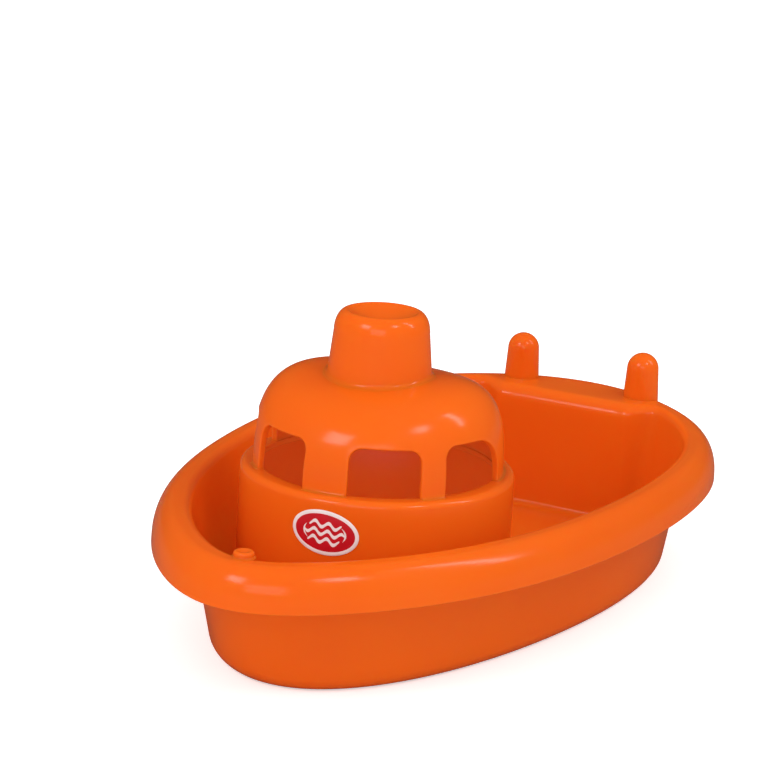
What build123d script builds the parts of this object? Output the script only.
from build123d import *
from math import cos, exp, hypot, log, pi, sin
import os

os.makedirs("parts", exist_ok=True)

# Toy boat for the bath or the sand pit, in moulded plastic.
# Frame: +X towards the bow, +Y to port, +Z up. The origin is on the floor under the middle
# of the overall box.  All sizes are in millimetres.

# ---- hull: rim ----
LENGTH = 271.0                  # rim, bow to stern
BREADTH = 151.6                 # scale of the rim's half-breadth series
BREADTH_SERIES = (-0.1805, -0.0262, 0.0006, -0.0159, 0.0101)
RIM_Z = 45.6                    # flat top of the rim
SKIRT = 13.0                    # height of the turned-down skirt
FLARE = 0.5                     # the skirt is this much wider at its lower edge
RIM_ROUND = 3.0                 # outer top edge of the rim
LIP_ROUND = 3.4                 # inner top edge of the rim

# ---- hull: tub ----
WALL = 2.0
FLOOR = 2.0
RIM_INSET = 9.4                 # rim edge to the outside of the tub, along the sides
BOW_INSET = 1.4                 # added to that at the bow
FOOT_BREADTH = 123.8
FOOT_SERIES = (-0.192, 0.053)
FOOT_BOW = 107.7                # foremost point of the flat foot
FOOT_STERN = -117.5
BILGE_ROUND = 5.0               # foot to wall, outside
COVE_ROUND = 2.6                # floor to wall, inside
SHELF_X = -108.0                # outside of the straight stern wall, under the shelf
SHELF_SOFT = 3.0                # how gradually that wall runs back into the tub's curve
CURVE_POINTS = 64               # through which each closed plan curve is drawn
PAST = 1.0                      # how far a cutting tool runs past the face it opens

# ---- cabin ----
CABIN_X = 40.8                  # centre of the cabin
DRUM_R = 43.2                   # outside, at the ledge
DRUM_FOOT_R = 43.4              # outside, at the hull floor
LEDGE_Z = 54.3
LEDGE_ROUND = 2.2
LEDGE_HOLE_R = 34.5
SEAT_HEIGHT = 3.0               # ring on the hull floor that centres the drum
SEAT_WIDTH = 1.8
FIT_GAP = 0.15

DOME_R = 39.5                   # outside, on the ledge
DOME_CROWN = 30.1               # rise of the roof above the ledge, at the middle
ROOF_FALL = 0.0045              # the roof falls by this much times x squared, fore and aft
DOME_N = 6.0                    # squareness of the dome's outline in plan radius
DOME_M = 2.8                    # squareness of the dome's outline in height
DOME_WALL = 2.0
DOME_LEVELS = (0.0, 0.25, 0.45, 0.6, 0.72, 0.82, 0.9, 0.95, 0.98)  # shares of the crown
HALVINGS = 40                   # steps of the search for each of its radii

CABIN_TURN = 2.5                # the dome sits turned this many degrees to port
FRONT_WINDOW = (27.6, 22.7, 15.0, 4.0, 4.0)    # angle from the bow, width, height, and the radii
SIDE_WINDOW = (75.7, 26.1, 15.6, 4.0, 13.5)    # of its forward and its aft upper corner
WINDOW_REACH = 13.0             # each way from the dome's edge, to cut through the curved wall
TENONS = (0.0, 50.4, -50.4, 115.0, -115.0, 180.0)    # feet under the dome's wall, angles from the bow
TENON_WIDTH = 5.0
TENON_THICK = 1.0
TENON_INSET = 0.5               # from the outside of the dome
TENON_DEPTH = 1.2
TENON_GAP = 0.1

FUNNEL_X = 43.0                 # centre of the funnel, a little ahead of the cabin's
FUNNEL_R = 16.2
FUNNEL_TOP_R = 15.0
FUNNEL_Z = 104.0
FUNNEL_ROUND = 4.6
FUNNEL_SINK = 2.2               # the foot starts this far below the crown, then is cut to the roof
SPIGOT_R = 11.8
SPIGOT_DEPTH = 5.0
DISH_R = 9.4
DISH_DEPTH = 3.2
DISH_HALFWAY = 0.78             # share of that depth reached halfway out
DISH_ROUND = 1.6

# ---- fittings ----
BOLLARD_X = -121.6
BOLLARD_Y = 23.7
BOLLARD_FOOT_R = 5.9
BOLLARD_HEAD_R = 5.3
BOLLARD_TOP = 61.8
PIN_R = 2.5
PIN_HOLE_R = 2.6
PIN_DEPTH = 4.0

BUTTON_X = 123.8
BUTTON_R = 3.1
BUTTON_HEIGHT = 1.8
BUTTON_SEAT = 1.0
BUTTON_GAP = 0.05
BUTTON_ROUND = 0.7
DIMPLE_SPHERE_R = 3.0
DIMPLE_DEPTH = 0.5

LABEL_Z = 43.4
LABEL_ANGLE = 6.5               # turned a little to port, as stuck on by hand
LABEL_WIDTH = 21.7
LABEL_HEIGHT = 13.9
LABEL_THICK = 0.2
LABEL_GAP = 0.03                # its layer of glue

PLATE_Z = RIM_Z - WALL          # underside of the rim
SKIRT_Z = RIM_Z - SKIRT         # lower edge of the skirt


# ---- plan curves of the hull: t is 0 at the bow, pi at the stern ----
def breadth(t, scale, series):
    swell = 1 + sum(k * cos((n + 1) * t) for n, k in enumerate(series))
    return scale / 2 * sin(t) * swell


def rim_edge(t):
    return LENGTH / 2 * cos(t), breadth(t, BREADTH, BREADTH_SERIES)


def foot_edge(t):
    middle = (FOOT_BOW + FOOT_STERN) / 2
    return middle + (FOOT_BOW - FOOT_STERN) / 2 * cos(t), breadth(t, FOOT_BREADTH, FOOT_SERIES)


def inset(curve, distance):
    """The curve moved inwards by a distance, which may depend on t."""

    def moved(t):
        step = 0.002
        x, y = curve(t)
        ahead, behind = curve(t + step), curve(t - step)
        dx, dy = ahead[0] - behind[0], ahead[1] - behind[1]
        by = (distance(t) if callable(distance) else distance) / hypot(dx, dy)
        return x - by * dy, y + by * dx

    return moved


def rim_overhang(t):
    return RIM_INSET + BOW_INSET * ((1 + cos(t)) / 2) ** 4


def straight_stern(x, stern_x):
    """Cuts the stern off square at stern_x, with soft corners."""
    return stern_x + SHELF_SOFT * log(1 + exp((x - stern_x) / SHELF_SOFT))


def tub_edge(z):
    """Outside of the tub at height z: straight drafted walls from the foot to the rim."""
    level = z / PLATE_Z
    top = inset(rim_edge, rim_overhang)

    def edge(t):
        (x0, y0), (x1, y1) = foot_edge(t), top(t)
        x, y = x0 + (x1 - x0) * level, y0 + (y1 - y0) * level
        return straight_stern(x, SHELF_X), y

    return edge


def closed_points(curve):
    return [curve(2 * pi * i / CURVE_POINTS) for i in range(CURVE_POINTS)]


# ---- hull ----
with BuildPart() as rim_block:
    for z, curve in ((SKIRT_Z, rim_edge), (RIM_Z, inset(rim_edge, FLARE))):
        with BuildSketch(Plane.XY.offset(z)):
            with BuildLine():
                Spline(*closed_points(curve), periodic=True)
            make_face()
    loft(ruled=True)
    fillet(rim_block.faces().sort_by(Axis.Z)[-1].edges(), RIM_ROUND)

with BuildPart() as tub_block:
    for z in (0, RIM_Z - RIM_ROUND / 2):
        with BuildSketch(Plane.XY.offset(z)):
            with BuildLine():
                Spline(*closed_points(tub_edge(z)), periodic=True)
            make_face()
    loft(ruled=True)
    fillet(tub_block.faces().sort_by(Axis.Z)[0].edges(), BILGE_ROUND)

with BuildPart() as tub_space:
    for z in (FLOOR, RIM_Z + LIP_ROUND):
        with BuildSketch(Plane.XY.offset(z)):
            with BuildLine():
                Spline(*closed_points(inset(tub_edge(z), WALL)), periodic=True)
            make_face()
    loft(ruled=True)
    fillet(tub_space.faces().sort_by(Axis.Z)[0].edges(), COVE_ROUND)

with BuildPart() as rim_space:
    for z, curve in ((SKIRT_Z - PAST, inset(rim_edge, WALL)), (PLATE_Z, inset(rim_edge, WALL + FLARE))):
        with BuildSketch(Plane.XY.offset(z)):
            with BuildLine():
                Spline(*closed_points(curve), periodic=True)
            make_face()
    loft(ruled=True)
    add(tub_block.part, mode=Mode.SUBTRACT)

seat_r = DRUM_FOOT_R - WALL - FIT_GAP
with BuildPart() as hull:
    add(rim_block.part)
    add(tub_block.part)
    add(tub_space.part, mode=Mode.SUBTRACT)
    add(rim_space.part, mode=Mode.SUBTRACT)
    top_edges = hull.edges().group_by(Axis.Z)[-1].sort_by(SortBy.LENGTH)
    fillet(top_edges[0], LIP_ROUND)
    with BuildSketch(Plane.XY.offset(FLOOR)):
        with Locations((CABIN_X, 0)):
            Circle(seat_r)
            Circle(seat_r - SEAT_WIDTH, mode=Mode.SUBTRACT)
    extrude(amount=SEAT_HEIGHT)
    with BuildSketch(Plane.XY.offset(PLATE_Z - PAST)):
        with Locations((BOLLARD_X, BOLLARD_Y), (BOLLARD_X, -BOLLARD_Y)):
            Circle(PIN_HOLE_R)
    extrude(amount=WALL + 2 * PAST, mode=Mode.SUBTRACT)
    with BuildSketch(Plane.XY.offset(RIM_Z - BUTTON_SEAT)):
        with Locations((BUTTON_X, 0)):
            Circle(BUTTON_R + BUTTON_GAP)
    extrude(amount=BUTTON_SEAT + PAST, mode=Mode.SUBTRACT)
hull.part.label = "hull"
export_step(hull.part, "parts/hull.step")


def tenons(gap):
    """The feet under the dome's wall, made larger by the gap for the sockets that take them."""
    with BuildPart() as feet:
        for turn in TENONS:
            outward = Vector(1, 0, 0).rotate(Axis.Z, CABIN_TURN + turn)
            foot = Vector(CABIN_X, 0, LEDGE_Z) + outward * (DOME_R - TENON_INSET - TENON_THICK / 2)
            with BuildSketch(Plane(origin=foot, x_dir=outward, z_dir=(0, 0, 1))):
                Rectangle(TENON_THICK + 2 * gap, TENON_WIDTH + 2 * gap)
            extrude(amount=-TENON_DEPTH - gap)
    return feet.part


# ---- cabin base: a drum with a ledge on top ----
cabin_axis = Axis((CABIN_X, 0, 0), (0, 0, 1))
cabin_plane = Plane(origin=(CABIN_X, 0, 0), x_dir=(1, 0, 0), z_dir=(0, -1, 0))

with BuildPart() as cabin_base:
    with BuildSketch(cabin_plane):
        with BuildLine():
            Polyline(
                (DRUM_FOOT_R - WALL, FLOOR),
                (DRUM_FOOT_R, FLOOR),
                (DRUM_R, LEDGE_Z),
                (LEDGE_HOLE_R, LEDGE_Z),
                (LEDGE_HOLE_R, LEDGE_Z - WALL),
                (DRUM_R - WALL, LEDGE_Z - WALL),
                close=True,
            )
        make_face()
    revolve(axis=cabin_axis)
    ledge_rim = cabin_base.edges().group_by(Axis.Z)[-1].sort_by(SortBy.LENGTH)[-1]
    fillet(ledge_rim, LEDGE_ROUND)
    add(tenons(TENON_GAP), mode=Mode.SUBTRACT)
cabin_base.part.label = "cabin_base"
export_step(cabin_base.part, "parts/cabin_base.step")


# ---- cabin dome: horizontal sections of a rounded cap whose roof falls fore and aft ----
def dome_radius(angle, rise, radius, crown):
    """Plan radius at which the cap of this radius and crown is `rise` above the ledge."""
    low, high = 0.0, 1.0
    for _ in range(HALVINGS):
        ratio = (low + high) / 2
        roof = crown - ROOF_FALL * (ratio * radius * cos(angle)) ** 2
        height = roof * (1 - ratio**DOME_N) ** (1 / DOME_M)
        low, high = (ratio, high) if height > rise else (low, ratio)
    return low * radius


def dome_block(radius, crown):
    with BuildPart() as block:
        for share in DOME_LEVELS:
            rise = share * crown
            angles = [2 * pi * i / CURVE_POINTS for i in range(CURVE_POINTS)]
            radii = [dome_radius(a, rise, radius, crown) for a in angles]
            with BuildSketch(Plane((CABIN_X, 0, LEDGE_Z + rise))):
                with BuildLine():
                    Spline(*[(r * cos(a), r * sin(a)) for r, a in zip(radii, angles)], periodic=True)
                make_face()
        loft()
    return block.part


with BuildPart() as cabin_dome:
    add(dome_block(DOME_R, DOME_CROWN))
    add(dome_block(DOME_R - DOME_WALL, DOME_CROWN - DOME_WALL), mode=Mode.SUBTRACT)
    for angle, width, height, forward_round, aft_round in (FRONT_WINDOW, SIDE_WINDOW):
        for side in (1, -1):
            outward = Vector(1, 0, 0).rotate(Axis.Z, CABIN_TURN + side * angle)
            across = outward.rotate(Axis.Z, 90)
            sill = Vector(CABIN_X, 0, LEDGE_Z) + outward * DOME_R
            with BuildSketch(Plane(origin=sill, x_dir=across, z_dir=outward)) as window:
                Rectangle(width, 2 * height)
                upper = window.vertices().group_by(Axis.Z)[-1].sort_by(Axis(sill, across * side))
                fillet(upper[0], forward_round)
                upper = window.vertices().group_by(Axis.Z)[-1].sort_by(Axis(sill, across * side))
                fillet(upper[-1], aft_round)
            extrude(amount=WINDOW_REACH, both=True, mode=Mode.SUBTRACT)
    add(tenons(0))
    with BuildSketch(Plane.XY.offset(LEDGE_Z + DOME_CROWN / 2)):
        with Locations((FUNNEL_X, 0)):
            Circle(SPIGOT_R + FIT_GAP)
    extrude(amount=DOME_CROWN, mode=Mode.SUBTRACT)
cabin_dome.part.label = "cabin_dome"
export_step(cabin_dome.part, "parts/cabin_dome.step")

# ---- funnel: a hollow pot with a dished top, whose foot follows the roof ----
roof_z = LEDGE_Z + DOME_CROWN
funnel_axis = Axis((FUNNEL_X, 0, 0), (0, 0, 1))
funnel_plane = Plane(origin=(FUNNEL_X, 0, 0), x_dir=(1, 0, 0), z_dir=(0, -1, 0))

with BuildPart() as funnel:
    with BuildSketch(funnel_plane):
        with BuildLine():
            Polyline(
                (0, FUNNEL_Z - DISH_DEPTH),
                (0, roof_z - SPIGOT_DEPTH),
                (SPIGOT_R, roof_z - SPIGOT_DEPTH),
                (SPIGOT_R, roof_z - FUNNEL_SINK),
                (FUNNEL_R, roof_z - FUNNEL_SINK),
                (FUNNEL_TOP_R, FUNNEL_Z),
                (DISH_R, FUNNEL_Z),
            )
            ThreePointArc(
                (DISH_R, FUNNEL_Z),
                (DISH_R / 2, FUNNEL_Z - DISH_HALFWAY * DISH_DEPTH),
                (0, FUNNEL_Z - DISH_DEPTH),
            )
        make_face()
    revolve(axis=funnel_axis)
    for nth, radius in ((-1, FUNNEL_ROUND), (0, DISH_ROUND)):
        top_circles = funnel.edges().filter_by(GeomType.CIRCLE).group_by(Axis.Z)[-1]
        fillet(top_circles.sort_by(SortBy.LENGTH)[nth], radius)
    with BuildSketch(funnel_plane):
        with BuildLine():
            Polyline(
                (0, roof_z - SPIGOT_DEPTH),
                (SPIGOT_R - WALL, roof_z - SPIGOT_DEPTH),
                (SPIGOT_R - WALL, roof_z + WALL),
                (FUNNEL_R - WALL, roof_z + WALL),
                (FUNNEL_TOP_R - WALL, FUNNEL_Z - FUNNEL_ROUND),
                (DISH_R, FUNNEL_Z - DISH_DEPTH - WALL),
                (0, FUNNEL_Z - DISH_DEPTH - WALL),
                close=True,
            )
        make_face()
    revolve(axis=funnel_axis, mode=Mode.SUBTRACT)
    add(cabin_dome.part, mode=Mode.SUBTRACT)
funnel.part.label = "funnel"
export_step(funnel.part, "parts/funnel.step")

# ---- bollards: round-ended posts pinned through the stern shelf ----
for side, name in ((1, "bollard_port"), (-1, "bollard_starboard")):
    spot = Vector(BOLLARD_X, side * BOLLARD_Y, 0)
    shoulder_z = BOLLARD_TOP - BOLLARD_HEAD_R
    with BuildPart() as bollard:
        with BuildSketch(Plane(origin=spot, x_dir=(1, 0, 0), z_dir=(0, -1, 0))):
            with BuildLine():
                Polyline(
                    (0, BOLLARD_TOP),
                    (0, RIM_Z - PIN_DEPTH),
                    (PIN_R, RIM_Z - PIN_DEPTH),
                    (PIN_R, RIM_Z),
                    (BOLLARD_FOOT_R, RIM_Z),
                    (BOLLARD_HEAD_R, shoulder_z),
                )
                RadiusArc((BOLLARD_HEAD_R, shoulder_z), (0, BOLLARD_TOP), -BOLLARD_HEAD_R)
            make_face()
        revolve(axis=Axis(spot, (0, 0, 1)))
    bollard.part.label = name
    export_step(bollard.part, f"parts/{name}.step")

# ---- bow button ----
button_z = RIM_Z - BUTTON_SEAT
with BuildPart() as bow_button:
    with BuildSketch(Plane.XY.offset(button_z)):
        with Locations((BUTTON_X, 0)):
            Circle(BUTTON_R)
    extrude(amount=BUTTON_SEAT + BUTTON_HEIGHT)
    fillet(bow_button.faces().sort_by(Axis.Z)[-1].edges(), BUTTON_ROUND)
    with Locations((BUTTON_X, 0, RIM_Z + BUTTON_HEIGHT + DIMPLE_SPHERE_R - DIMPLE_DEPTH)):
        Sphere(DIMPLE_SPHERE_R, mode=Mode.SUBTRACT)
bow_button.part.label = "bow_button"
export_step(bow_button.part, "parts/bow_button.step")

# ---- label: an oval of film wrapped on the front of the drum ----
drum_slope = (DRUM_R - DRUM_FOOT_R) / (LEDGE_Z - FLOOR)
low_z = LABEL_Z - LABEL_HEIGHT
high_z = LABEL_Z + LABEL_HEIGHT
low_r = DRUM_FOOT_R + drum_slope * (low_z - FLOOR) + LABEL_GAP
high_r = DRUM_FOOT_R + drum_slope * (high_z - FLOOR) + LABEL_GAP

with BuildPart() as label:
    with BuildSketch(cabin_plane):
        with BuildLine():
            Polyline(
                (low_r, low_z),
                (low_r + LABEL_THICK, low_z),
                (high_r + LABEL_THICK, high_z),
                (high_r, high_z),
                close=True,
            )
        make_face()
    revolve(axis=cabin_axis)
    outward = Vector(1, 0, 0).rotate(Axis.Z, LABEL_ANGLE)
    across = outward.rotate(Axis.Z, 90)
    with BuildSketch(Plane(origin=(CABIN_X, 0, LABEL_Z), x_dir=across, z_dir=outward)):
        Ellipse(LABEL_WIDTH / 2, LABEL_HEIGHT / 2)
    extrude(amount=LENGTH, mode=Mode.INTERSECT)
label.part.label = "label"
export_step(label.part, "parts/label.step")
